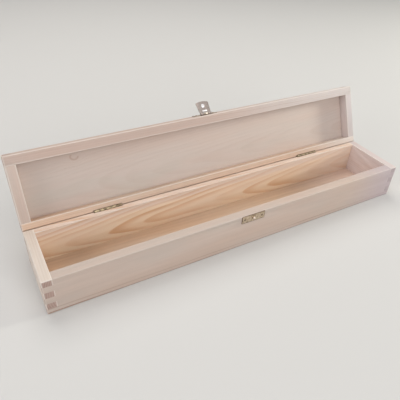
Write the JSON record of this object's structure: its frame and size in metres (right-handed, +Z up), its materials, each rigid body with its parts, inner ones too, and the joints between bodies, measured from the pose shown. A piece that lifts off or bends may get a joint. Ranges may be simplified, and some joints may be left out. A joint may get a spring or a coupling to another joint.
{
  "type": "wooden candle box",
  "caption": "Long slim finger-jointed wooden box with a shallow hinged lid and a small snap hasp, for keeping tapered candles.",
  "frame": {"origin": "middle of the underside, which rests on the table", "axes": "+X along the box to the right as seen from its front, +Y from the front to the hinge side, +Z up"},
  "size_m": [0.44, 0.1259, 0.1186],
  "materials": {
    "wall_board": "sanded bare softwood",
    "panel_board": "bare thin softwood panel",
    "hinge_brass": "dulled brass",
    "latch_brass": "pale brass plate",
    "hasp_nickel": "bright nickel plate"
  },
  "bodies": {
    "base": {"base_front_board": "wall_board", "base_back_board": "wall_board", "base_left_end": "wall_board", "base_right_end": "wall_board", "base_floor": "panel_board", "left_hinge_base_leaf": "hinge_brass", "right_hinge_base_leaf": "hinge_brass", "left_hinge_pin": "hinge_brass", "right_hinge_pin": "hinge_brass", "hinge_base_nails": "hinge_brass", "catch_plate": "latch_brass", "catch_stud": "hasp_nickel", "catch_nails": "latch_brass"},
    "lid": {"lid_front_rail": "wall_board", "lid_back_rail": "wall_board", "lid_left_end": "wall_board", "lid_right_end": "wall_board", "lid_top_board": "panel_board", "left_hinge_lid_leaf": "hinge_brass", "right_hinge_lid_leaf": "hinge_brass", "hinge_lid_nails": "hinge_brass", "latch_plate": "latch_brass", "latch_pin": "hasp_nickel", "latch_nails": "latch_brass"},
    "hasp": {"latch_hasp": "hasp_nickel"}
  },
  "joints": [
    {"name": "lid_hinge", "type": "hinge", "parent": "base", "child": "lid", "pos_m": [0, 0.0355, 0.0422], "axis": [1, 0, 0], "range_deg": [0, 114]},
    {"name": "hasp_hinge", "type": "hinge", "parent": "lid", "child": "hasp", "pos_m": [0, 0.07055, 0.10913], "axis": [1, 0, 0], "range_deg": [-37, 118]}
  ]
}
